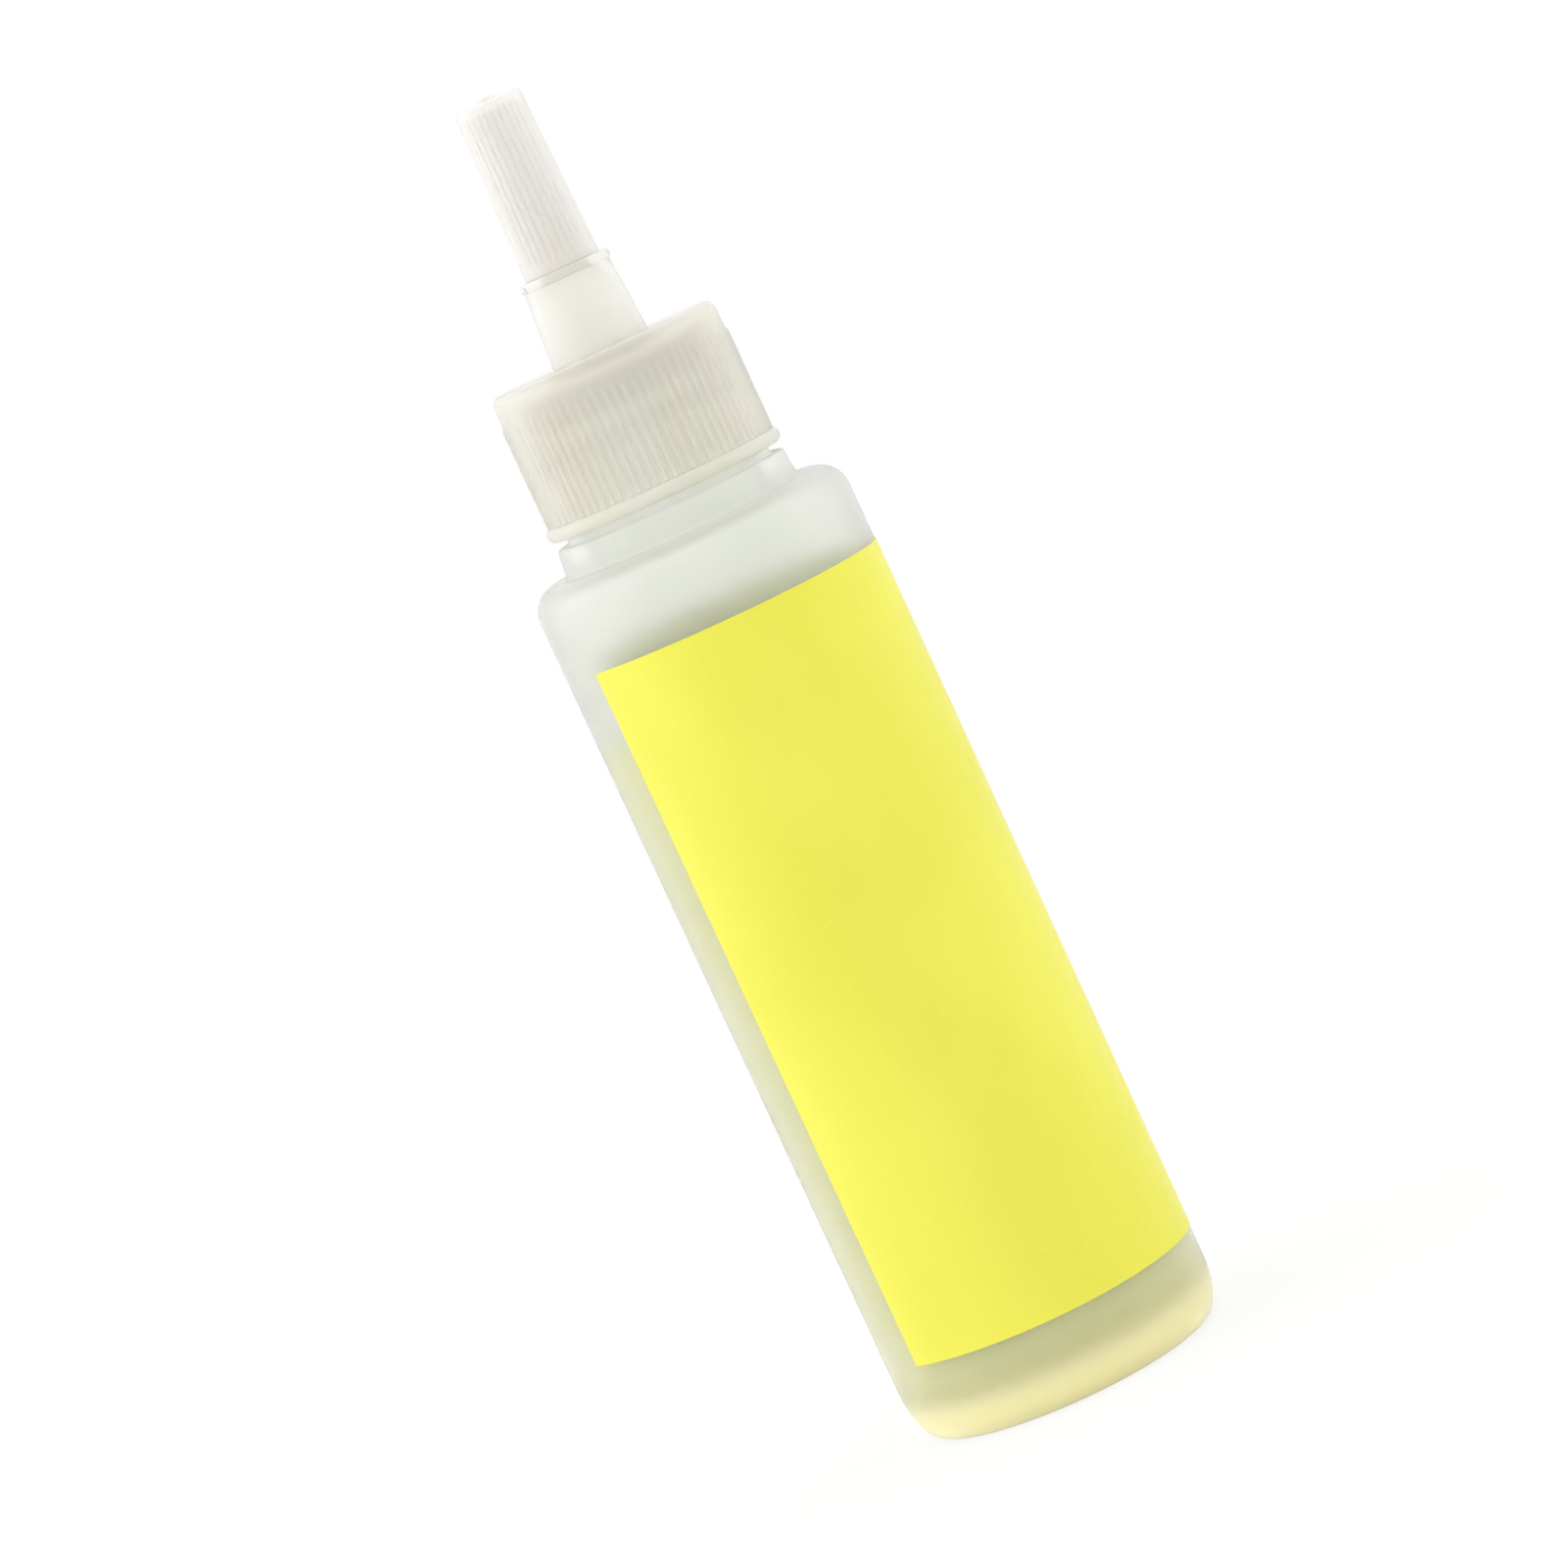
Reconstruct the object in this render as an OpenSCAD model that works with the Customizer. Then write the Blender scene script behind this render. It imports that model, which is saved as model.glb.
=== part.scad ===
// Squeeze bottle for chain lubricant: a blown round body with a paper-thin
// wrap label, a long dropper nozzle, a ribbed screw cap that clamps the
// nozzle on the neck, and a fluted push-on cap over the nozzle's tip.
// Frame: origin at the centre of the base, +Z up, the front faces -Y.

/* [Body] */
// Outer diameter of the body
body_d = 32; // [29:0.5:40]
// Height from the base to the flat top of the shoulder
body_h = 89; // [85:0.1:120]
// Wall thickness of the blown body
wall = 0.9; // [0.6:0.1:1.2]
// Inward reach of the soft corner round the base
base_round_w = 2.1; // [1.2:0.1:3]
// Height of the soft corner round the base
base_round_h = 5.1; // [3:0.1:7]
// Width of the flat ring that the bottle stands on
stand_ring_w = 2.4; // [1.5:0.1:4]
// Rise of the base inside the standing ring
push_up = 1.5; // [0.5:0.1:2.5]
// Radius of the corner between the body and its shoulder
shoulder_r = 2.8; // [1.5:0.1:3.5]

/* [Neck] */
// Diameter of the neck at the root of its thread
neck_d = 19.4; // [17:0.1:21]
// Wall thickness of the neck
neck_wall = 1.3; // [1:0.1:1.8]
// Width of the collar ring's flat top outside the land
collar_w = 1.3; // [0.9:0.05:1.6]
// Flare of the collar ring from its top to its foot
collar_flare = 0.225; // [0:0.025:0.4]
// Height of the collar ring
collar_h = 2.8; // [2:0.1:4]
// Radius of the collar ring's top edge
collar_edge_r = 0.5; // [0.2:0.05:0.8]
// Height of the plain land between the collar and the thread
land_h = 2.8; // [2:0.1:3]

/* [Thread] */
// Rise of the thread in one turn
thread_pitch = 3.175; // [2.9:0.005:3.4]
// Turns of the thread on the neck
neck_turns = 1.5; // [1:0.05:1.6]
// Turns of the thread inside the screw cap
cap_turns = 1.25; // [1:0.05:1.5]
// Height of both threads above the walls that carry them
thread_rise = 0.7; // [0.5:0.05:0.9]
// Axial width of both threads at their root
thread_root_w = 1.5; // [1.2:0.05:1.6]
// Axial width of both threads at their crest
thread_crest_w = 0.7; // [0.5:0.05:0.9]
// Radial gap between each thread's crest and the other part
thread_gap = 0.25; // [0.15:0.01:0.3]
// Plain neck above the end of its thread
thread_margin = 1; // [0.5:0.1:1.5]
// Turn over which both threads fade at each end, in degrees
thread_fade = 40; // [20:5:60]

/* [Screw cap] */
// Height of the screw cap
cap_h = 14.7; // [14.2:0.1:18]
// Thickness of the skirt between the ribs and above them
skirt_wall = 0.8; // [0.7:0.05:1.2]
// Thickness of the plate at the top
plate_t = 1.3; // [1:0.1:2]
// Radius of the edge round the top
cap_edge_r = 0.9; // [0.5:0.05:1.2]
// Reach of the bead round the bottom beyond the skirt
bead_rise = 0.55; // [0.35:0.05:0.8]
// Height of the bead round the bottom
bead_h = 1.4; // [1:0.1:2]
// Number of grip ribs
rib_count = 78; // [40:1:90]
// Height of the ribs above the skirt
rib_rise = 0.28; // [0.15:0.01:0.4]
// Length over which the ribs fade at their top
rib_fade = 0.6; // [0.3:0.1:1]
// Smooth band between the ribs and the top of the cap
rib_top_band = 2.8; // [1.5:0.1:4]
// Gap between the collar and the cap when it is screwed down
cap_gap = 0.8; // [0.4:0.1:2]

/* [Nozzle] */
// Diameter of the spout where it leaves the screw cap
spout_base_d = 9.75; // [9:0.05:11]
// Diameter of the spout under its rim
spout_top_d = 8.7; // [8.4:0.05:8.9]
// Height of the spout from the screw cap to the top of its rim
spout_h = 8.45; // [6:0.05:12]
// Diameter of the rim
rim_d = 8.95; // [8.9:0.05:9.5]
// Height of the rim
rim_h = 0.85; // [0.5:0.05:1.5]
// Reach of the two stop lugs beyond the rim
lug_rise = 0.2; // [0.1:0.05:0.4]
// Angle that each stop lug covers, in degrees
lug_angle = 14; // [8:1:20]
// Turn of the first stop lug from the right-hand side, in degrees
lug_turn = 12; // [0:1:45]
// Wall thickness of the spout
spout_wall = 1; // [0.8:0.1:1.2]
// Diameter of the tip round the orifice
tip_d = 3.4; // [3:0.1:4]
// Radius of the edge round the tip
tip_edge_r = 0.4; // [0.2:0.05:0.5]
// Diameter of the orifice
orifice_d = 1.2; // [0.8:0.1:1.6]
// Length of the straight orifice behind the tip
orifice_l = 1; // [0.5:0.1:3]
// Thickness of the sealing flange
flange_t = 0.7; // [0.5:0.1:1.2]
// Height of the plug ring inside the neck
plug_h = 3; // [2:0.1:5]
// Thickness of the plug ring
plug_wall = 0.9; // [0.7:0.1:1.2]
// Size of the lead-in at the plug ring's foot
plug_lead = 0.5; // [0.3:0.05:0.6]

/* [Tip cap] */
// Diameter of the tip cap at its foot
tip_cap_foot_d = 7.46; // [7.2:0.02:7.8]
// Diameter of the tip cap at its top
tip_cap_top_d = 6.7; // [6.5:0.05:7.1]
// Height of the tip cap without the gate nub
tip_cap_h = 16.9; // [12:0.1:24]
// Wall thickness of the tip cap
tip_cap_wall = 0.8; // [0.6:0.05:0.9]
// Radius of the tip cap's top edge
tip_cap_edge_r = 0.3; // [0.1:0.05:0.5]
// Number of grip flutes
flute_count = 32; // [20:1:36]
// Depth of the flutes
flute_depth = 0.18; // [0.1:0.01:0.25]
// Plain band between the flutes and each end of the tip cap
flute_band = 0.8; // [0.4:0.1:2]
// Diameter of the gate nub on the top
nub_d = 1.8; // [1:0.1:2.5]
// Height of the gate nub
nub_h = 0.45; // [0.2:0.05:0.8]

/* [Label and filling] */
// Width of the label along the curve of the body
label_w = 80; // [40:1:88]
// Height of the label
label_h = 71.9; // [40:0.1:76]
// Height of the label's lower edge above the base
label_z = 8.5; // [7:0.1:12]
// Thickness of the label film
label_t = 0.1; // [0.05:0.01:0.2]
// Turn of the label's left edge away from the front, in degrees
label_edge_turn = 54.7; // [0:0.1:90]
// Height of the lubricant's surface above the base
oil_level = 73.2; // [20:0.1:78]

/* [Clearances] */
// Gap between flat faces that meet on different pieces
seat_gap = 0.05; // [0.02:0.01:0.15]
// Inset of the sealing flange from the outside of the neck
flange_gap = 0.1; // [0.05:0.01:0.3]
// Radial gap between the plug ring and the neck bore
plug_gap = 0.08; // [0.04:0.01:0.15]
// Radial gap between the spout and the hole in the screw cap
hole_gap = 0.1; // [0.05:0.01:0.3]
// Radial gap between the nozzle's tip and the tip cap
tip_gap = 0.12; // [0.05:0.01:0.2]
// Gap between the label and the body, which its glue fills
glue_gap = 0.02; // [0.01:0.01:0.05]
// Gap between the lubricant and the wall
film_gap = 0.05; // [0.02:0.01:0.1]

/* [Hidden] */
$fn = 96;

// Small overlap that lets two solids of one piece merge
bite = 0.2;

// Body
body_r = body_d / 2;
inner_r = body_r - wall;
inner_shoulder_r = max(shoulder_r - wall, 0.5);

// Heights that stack up from the shoulder to the tip
collar_top_z = body_h + collar_h;
cap_bottom_z = collar_top_z + cap_gap;
cap_top_z = cap_bottom_z + cap_h;
plate_z = cap_top_z - plate_t;
flange_top_z = plate_z - seat_gap;
flange_z = flange_top_z - flange_t;
mouth_z = flange_z - seat_gap;
land_top_z = collar_top_z + land_h;
rim_top_z = cap_top_z + spout_h;
tip_cap_z = rim_top_z + seat_gap;
tip_cap_top_z = tip_cap_z + tip_cap_h;
tip_z = tip_cap_top_z - tip_cap_wall - 2 * tip_gap;

// Threads, which share one helix half a pitch apart
thread_d = neck_d + 2 * thread_rise;
thread_bore_d = thread_d + 2 * thread_gap;
cap_thread_d = neck_d + 2 * thread_gap;
thread_segments = 36;
thread_tail = 0.05;
neck_thread_z = mouth_z - thread_margin - thread_root_w / 2 - neck_turns * thread_pitch;
cap_thread_z = neck_thread_z - thread_pitch / 2;

// Neck
neck_r = neck_d / 2;
neck_bore_r = neck_r - neck_wall;
collar_top_r = thread_d / 2 + collar_w;
collar_foot_r = collar_top_r + collar_flare;

// Screw cap
cap_r = thread_bore_d / 2 + skirt_wall;
rib_foot_z = cap_bottom_z + bead_h - bite;
rib_h = cap_h - rib_top_band - bead_h + bite;
rib_step = 360 / rib_count;
rib_foot_share = 0.34;
rib_crest_share = 0.16;

// Nozzle
spout_base_r = spout_base_d / 2;
flange_r = neck_r - flange_gap;
plug_r = neck_bore_r - plug_gap;
tube_r = tip_cap_foot_d / 2 - tip_cap_wall - tip_gap;
tube_bore_r = tube_r - spout_wall;
lug_h_share = 0.7;

// Tip cap
flute_step = 360 / flute_count;
flute_w_share = 0.7;
tip_cap_lean = atan((tip_cap_foot_d - tip_cap_top_d) / 2 / tip_cap_h);

// Label
label_sweep = 360 * label_w / (PI * body_d);
label_start = 270 - label_edge_turn;

// Points along an arc, or a quarter of an ellipse, round a centre
function arc(cx, cz, rx, rz, from, to, n = 8) =
    [for (i = [0:n]) let (a = from + (to - from) * i / n) [cx + rx * cos(a), cz + rz * sin(a)]];

// Points of the raised base, from the centre out to the standing ring
function dome(r, z, rise, n = 6) =
    [for (i = [0:n - 1]) [r * i / n, z + rise * (1 - pow(i / n, 2))]];

// Half section of the body, solid from its base up to a flat or a rounded top
function body_section(r, z, top, corner_r) = concat(
    dome(r - base_round_w - stand_ring_w, z, push_up),
    [[r - base_round_w - stand_ring_w, z]],
    arc(r - base_round_w, z + base_round_h, base_round_w, base_round_h, -90, 0),
    corner_r > 0 ? arc(r - corner_r, top - corner_r, corner_r, corner_r, 0, 90, 6) : [[r, top]],
    [[0, top]]);

// Ring of points of a thread's profile at one step of its helix
function thread_ring(root_r, crest_r, rise, turn, f) = let (r = root_r + (crest_r - root_r) * f)
    [for (p = [[root_r, -thread_root_w / 2], [r, -thread_crest_w / 2],
               [r, thread_crest_w / 2], [root_r, thread_root_w / 2]])
        [p[0] * cos(turn), p[0] * sin(turn), rise + p[1]]];

// Thread ridge that fades into its wall at both ends
module thread(root_r, crest_r, turns) {
    steps = ceil(turns * thread_segments);
    sweep = 360 * turns;
    points = [for (i = [0:steps]) let (turn = sweep * i / steps,
                  f = max(thread_tail, min(1, turn / thread_fade, (sweep - turn) / thread_fade)))
              each thread_ring(root_r, crest_r, thread_pitch * turn / 360, turn, f)];
    sides = [for (i = [0:steps - 1], k = [0:3]) let (a = 4 * i + k, b = 4 * i + (k + 1) % 4)
             each [[a, b, b + 4], [a, b + 4, a + 4]]];
    last = 4 * steps;
    ends = [[3, 2, 1, 0], [last, last + 1, last + 2, last + 3]];
    faces = concat(sides, ends);
    outward = crest_r > root_r;
    polyhedron(points, outward ? faces : [for (f = faces) [for (k = [len(f) - 1:-1:0]) f[k]]]);
}

// Solid of revolution from a half section
module turned(points) {
    rotate_extrude() polygon(points);
}

module bottle() {
    color("#dfe3cf") difference() {
        union() {
            turned(body_section(body_r, 0, body_h, shoulder_r));
            collar();
            translate([0, 0, body_h - bite]) cylinder(r = neck_r, h = mouth_z - body_h + bite);
            land();
            translate([0, 0, neck_thread_z]) thread(neck_r - bite, thread_d / 2, neck_turns);
        }
        turned(body_section(inner_r, wall, body_h - wall, inner_shoulder_r));
        translate([0, 0, body_h / 2]) cylinder(r = neck_bore_r, h = mouth_z);
    }
}

// Ring round the foot of the neck, with a soft top edge
module collar() {
    turned(concat([[0, body_h - bite], [collar_foot_r, body_h - bite], [collar_foot_r, body_h]],
                  arc(collar_top_r - collar_edge_r, collar_top_z - collar_edge_r,
                      collar_edge_r, collar_edge_r, 0, 90, 4),
                  [[0, collar_top_z]]));
}

// Plain land above the collar, which centres the cap's skirt
module land() {
    turned([[0, body_h - bite], [thread_d / 2, body_h - bite], [thread_d / 2, land_top_z - thread_rise],
            [neck_r, land_top_z], [0, land_top_z]]);
}

module label() {
    color("#ede958") rotate(label_start) rotate_extrude(angle = label_sweep)
        translate([body_r + glue_gap, label_z]) square([label_t, label_h]);
}

module oil_fill() {
    color("#d9d98a") turned(body_section(inner_r - film_gap, wall + film_gap, oil_level, 0));
}

module nozzle() {
    color("#eeece2") difference() {
        union() {
            translate([0, 0, flange_z]) cylinder(r = flange_r, h = flange_t);
            plug();
            spout();
            rim();
            tip_tube();
        }
        channel();
    }
}

// Ring that seals inside the neck, with a lead-in at its foot
module plug() {
    z = flange_z - plug_h;
    inner = plug_r - plug_wall;
    turned([[inner, z], [plug_r - plug_lead, z], [plug_r, z + plug_lead], [plug_r, flange_z + bite],
            [inner, flange_z + bite]]);
}

// Straight shank through the screw cap and the tapered spout above it
module spout() {
    translate([0, 0, flange_z]) cylinder(r = spout_base_r, h = cap_top_z - flange_z);
    translate([0, 0, cap_top_z]) cylinder(r1 = spout_base_r, r2 = spout_top_d / 2, h = spout_h - rim_h);
}

// Rim that the tip cap stops on, with two stop lugs
module rim() {
    z = rim_top_z - rim_h;
    translate([0, 0, z]) cylinder(d = rim_d, h = rim_h);
    for (side = [0, 180])
        rotate(side + lug_turn) rotate_extrude(angle = lug_angle)
            translate([rim_d / 2 - bite, z]) square([bite + lug_rise, rim_h * lug_h_share]);
}

// Slender tube from the rim to the orifice, with a turned edge at the tip
module tip_tube() {
    turned(concat([[0, rim_top_z - bite], [tube_r, rim_top_z - bite], [tube_r, rim_top_z]],
                  arc(tip_d / 2 - tip_edge_r, tip_z - tip_edge_r, tip_edge_r, tip_edge_r, 0, 90, 4),
                  [[0, tip_z]]));
}

// Passage from the plug to the orifice
module channel() {
    foot_z = flange_z - bite;
    waist_z = rim_top_z - rim_h - spout_wall;
    turned([[0, foot_z], [spout_base_r - spout_wall, foot_z], [spout_base_r - spout_wall, cap_top_z],
            [spout_top_d / 2 - spout_wall, waist_z], [tube_bore_r, rim_top_z],
            [orifice_d / 2, tip_z - orifice_l], [orifice_d / 2, tip_z + bite], [0, tip_z + bite]]);
}

module screw_cap() {
    color("#e1decb") {
        difference() {
            union() {
                skirt();
                ribs();
            }
            translate([0, 0, cap_bottom_z - bite])
                cylinder(d = thread_bore_d, h = cap_h - plate_t + bite);
            translate([0, 0, plate_z - bite])
                cylinder(r = spout_base_r + hole_gap, h = plate_t + 2 * bite);
        }
        translate([0, 0, cap_thread_z])
            thread(thread_bore_d / 2 + bite, cap_thread_d / 2, cap_turns);
    }
}

// Smooth outside of the screw cap with its bead and rounded top
module skirt() {
    turned(concat([[0, cap_bottom_z], [cap_r, cap_bottom_z]],
                  arc(cap_r, cap_bottom_z + bead_h / 2, bead_rise, bead_h / 2, -90, 90),
                  arc(cap_r - cap_edge_r, cap_top_z - cap_edge_r, cap_edge_r, cap_edge_r, 0, 90, 6),
                  [[0, cap_top_z]]));
}

// Upright grip ribs that fade into the smooth band above them
module ribs() {
    valley_r = cap_r - bite;
    crest_r = cap_r + rib_rise;
    profile = [for (i = [0:rib_count - 1]) each
               [for (p = [[valley_r, -rib_foot_share], [crest_r, -rib_crest_share],
                          [crest_r, rib_crest_share], [valley_r, rib_foot_share]])
                   let (a = rib_step * (i + p[1])) [p[0] * cos(a), p[0] * sin(a)]]];
    translate([0, 0, rib_foot_z]) intersection() {
        linear_extrude(rib_h) polygon(profile);
        turned([[0, 0], [crest_r, 0], [crest_r, rib_h - rib_fade], [cap_r - bite / 2, rib_h], [0, rib_h]]);
    }
}

module tip_cap() {
    color("#f0eee4") difference() {
        tip_cap_outside();
        tip_cap_inside();
        flutes();
    }
}

// Tapered outside of the tip cap with a soft top edge and the gate nub
module tip_cap_outside() {
    top_r = tip_cap_top_d / 2;
    turned(concat([[0, tip_cap_z], [tip_cap_foot_d / 2, tip_cap_z]],
                  arc(top_r - tip_cap_edge_r, tip_cap_top_z - tip_cap_edge_r,
                      tip_cap_edge_r, tip_cap_edge_r, 0, 90, 4),
                  [[0, tip_cap_top_z]]));
    translate([0, 0, tip_cap_top_z - bite]) cylinder(d = nub_d, h = nub_h + bite);
}

// Hollow of the tip cap, tapered as its outside is
module tip_cap_inside() {
    translate([0, 0, tip_cap_z])
        cylinder(r1 = tip_cap_foot_d / 2 - tip_cap_wall, r2 = tip_cap_top_d / 2 - tip_cap_wall,
                 h = tip_cap_h - tip_cap_wall);
}

// V-shaped grip flutes that lean with the taper
module flutes() {
    cut_h = tip_cap_h - 2 * flute_band;
    foot_r = tip_cap_foot_d / 2 - flute_band * tan(tip_cap_lean);
    half_w = flute_w_share * PI * tip_cap_foot_d / flute_count / 2;
    for (i = [0:flute_count - 1])
        rotate(i * flute_step) translate([foot_r, 0, tip_cap_z + flute_band]) rotate([0, -tip_cap_lean, 0])
            linear_extrude(cut_h)
                polygon([[-flute_depth, 0], [flute_depth, -2 * half_w], [flute_depth, 2 * half_w]]);
}

bottle();
label();
oil_fill();
nozzle();
screw_cap();
tip_cap();
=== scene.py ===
"""Looks of a chain lube bottle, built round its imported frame.

A frosted squeeze bottle with a plain wrap label stands on a pale floor. A dropper nozzle is clamped on
its neck by a ribbed screw cap, and a fluted tip cap covers the nozzle's tip. All lengths are in metres,
and MM turns millimetres into them. Angles are in degrees where they are sizes of a piece.
"""

from __future__ import annotations

import logging
import math
from abc import ABC, abstractmethod
from collections.abc import Callable, Sequence
from dataclasses import dataclass, field
from enum import Enum
from typing import ClassVar

import bmesh
import bpy
from mathutils import Matrix, Vector

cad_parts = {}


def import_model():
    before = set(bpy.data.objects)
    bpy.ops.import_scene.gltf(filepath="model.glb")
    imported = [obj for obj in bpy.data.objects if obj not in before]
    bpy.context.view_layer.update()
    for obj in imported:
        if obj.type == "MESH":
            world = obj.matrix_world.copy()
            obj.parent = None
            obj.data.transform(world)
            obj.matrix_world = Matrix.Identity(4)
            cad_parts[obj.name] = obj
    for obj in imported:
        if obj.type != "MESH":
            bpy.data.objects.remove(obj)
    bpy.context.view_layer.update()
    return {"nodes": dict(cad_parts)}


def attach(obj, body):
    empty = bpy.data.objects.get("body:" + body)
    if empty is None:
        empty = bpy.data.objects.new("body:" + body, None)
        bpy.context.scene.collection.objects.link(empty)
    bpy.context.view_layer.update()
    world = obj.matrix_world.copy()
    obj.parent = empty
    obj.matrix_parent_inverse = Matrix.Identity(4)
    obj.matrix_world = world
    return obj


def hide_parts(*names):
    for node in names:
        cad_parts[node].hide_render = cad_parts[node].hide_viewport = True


MM = 0.001
LOG = logging.getLogger("chain_lube_bottle")

Point = tuple[float, float]
Colour = tuple[int, int, int]


class Body(Enum):
    """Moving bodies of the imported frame."""

    BOTTLE = "bottle"
    NOZZLE = "nozzle"
    SCREW_CAP = "screw_cap"
    TIP_CAP = "tip_cap"


class Slot(Enum):
    """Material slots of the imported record."""

    BOTTLE = "bottle"
    LABEL = "label"
    OIL = "oil"
    NOZZLE = "nozzle"
    SCREW_CAP = "screw_cap"
    TIP_CAP = "tip_cap"


class Profile(Enum):
    """How a turned profile ends."""

    LOOPED = "looped"
    ON_AXIS = "on axis"


@dataclass(frozen=True)
class Stack:
    """Heights of the pieces, stacked up from the base."""

    body: float = 89 * MM
    collar: float = 2.8 * MM
    land: float = 2.8 * MM
    cap_gap: float = 0.8 * MM
    cap: float = 14.7 * MM
    plate: float = 1.3 * MM
    seat_gap: float = 0.05 * MM
    flange: float = 0.7 * MM
    spout: float = 8.45 * MM
    tip_cap: float = 16.9 * MM
    tip_cap_wall: float = 0.8 * MM
    tip_gap: float = 0.24 * MM
    pitch: float = 3.175 * MM
    neck_turns: float = 1.5
    thread_margin: float = 1.75 * MM

    @property
    def collar_top(self) -> float:
        """Height of the collar's flat top."""
        return self.body + self.collar

    @property
    def cap_foot(self) -> float:
        """Height of the screw cap's lower edge."""
        return self.collar_top + self.cap_gap

    @property
    def cap_top(self) -> float:
        """Height of the screw cap's top."""
        return self.cap_foot + self.cap

    @property
    def plate_foot(self) -> float:
        """Height of the underside of the screw cap's plate."""
        return self.cap_top - self.plate

    @property
    def flange_top(self) -> float:
        """Height of the nozzle flange's top."""
        return self.plate_foot - self.seat_gap

    @property
    def flange_foot(self) -> float:
        """Height of the nozzle flange's underside."""
        return self.flange_top - self.flange

    @property
    def mouth(self) -> float:
        """Height of the neck's mouth."""
        return self.flange_foot - self.seat_gap

    @property
    def rim_top(self) -> float:
        """Height of the rim that the tip cap stops on."""
        return self.cap_top + self.spout

    @property
    def tip_cap_foot(self) -> float:
        """Height of the tip cap's foot."""
        return self.rim_top + self.seat_gap

    @property
    def tip_cap_top(self) -> float:
        """Height of the tip cap's top."""
        return self.tip_cap_foot + self.tip_cap

    @property
    def tip(self) -> float:
        """Height of the nozzle's tip."""
        return self.tip_cap_top - self.tip_cap_wall - self.tip_gap

    @property
    def neck_thread(self) -> float:
        """Height at which the neck thread starts, at its middle."""
        return self.mouth - self.thread_margin - self.neck_turns * self.pitch

    @property
    def cap_thread(self) -> float:
        """Height at which the cap thread starts, half a pitch below the neck thread."""
        return self.neck_thread - self.pitch / 2


STACK = Stack()


# Shapes of a section


def arc(centre: Point, reach: Point, start: float, end: float, steps: int = 4) -> list[Point]:
    """Gives points along an arc, or a part of an ellipse.

    Args:
        centre: Radius and height of the arc's centre.
        reach: Half width and half height of the ellipse.
        start: First angle in degrees, from the outward direction.
        end: Last angle in degrees.
        steps: Number of equal steps between the two.

    Returns:
        Points as radius and height.
    """
    angles = [math.radians(start + (end - start) * i / steps) for i in range(steps + 1)]
    return [(centre[0] + reach[0] * math.cos(a), centre[1] + reach[1] * math.sin(a)) for a in angles]


def corner(radius: float, height: float, edge: float, steps: int = 4) -> list[Point]:
    """Rounds an outer top corner.

    Args:
        radius: Radius of the upright wall.
        height: Height of the flat top.
        edge: Radius of the rounding.
        steps: Number of steps of the rounding.

    Returns:
        Points from the wall to the top.
    """
    return arc((radius - edge, height - edge), (edge, edge), 0, 90, steps)


def dome(radius: float, height: float, rise: float, steps: int = 8) -> list[Point]:
    """Gives points of a raised base, from close to the axis out to its foot.

    Args:
        radius: Radius of the dome's foot.
        height: Height of the foot.
        rise: How far the middle stands above the foot.
        steps: Number of equal steps from the axis.

    Returns:
        Points as radius and height, with the foot.
    """
    shares = [max(i / steps, 0.04) for i in range(steps + 1)]
    return [(radius * s, height + rise * (1 - s * s)) for s in shares]


# Bench work


def start_edit(piece: bpy.types.Object) -> None:
    """Opens one piece, and nothing else, in edit mode."""
    bpy.ops.object.select_all(action="DESELECT")
    piece.select_set(True)
    bpy.context.view_layer.objects.active = piece
    bpy.ops.object.mode_set(mode="EDIT")


def end_edit() -> None:
    """Leaves edit mode."""
    bpy.ops.object.mode_set(mode="OBJECT")


def take_new(name: str) -> bpy.types.Object:
    """Names the primitive that was just added and bakes its place into its mesh.

    Args:
        name: Name of the piece.

    Returns:
        The piece.
    """
    piece = bpy.context.object
    piece.name = piece.data.name = name
    bpy.ops.object.transform_apply(location=True, rotation=True, scale=True)
    return piece


def pick(piece: bpy.types.Object, wanted: Callable[[Vector], bool], faces: bool = False) -> None:
    """Selects the vertices or faces of the open piece whose place is wanted, and no others.

    Args:
        piece: Piece that is open in edit mode.
        wanted: Test of a vertex's place, or of the middle of a face.
        faces: Whether faces are selected and not vertices.
    """
    bpy.ops.mesh.select_mode(type="FACE" if faces else "VERT")
    bpy.ops.mesh.select_all(action="DESELECT")
    mesh = bmesh.from_edit_mesh(piece.data)
    if faces:
        for face in mesh.faces:
            face.select_set(wanted(face.calc_center_median()))
    else:
        for vertex in mesh.verts:
            vertex.select_set(wanted(vertex.co))
    mesh.select_flush_mode()
    bmesh.update_edit_mesh(piece.data)


def scale_round_axis(factor: float) -> None:
    """Scales what is selected outwards from, or inwards to, the upright axis."""
    bpy.ops.transform.resize(value=(factor, factor, 1), orient_type="GLOBAL", center_override=(0, 0, 0))


def stand_up() -> None:
    """Turns what is selected from the floor's plane into the plane of radius and height."""
    quarter = math.radians(-90)
    bpy.ops.transform.rotate(value=quarter, orient_axis="X", orient_type="GLOBAL", center_override=(0, 0, 0))


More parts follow.
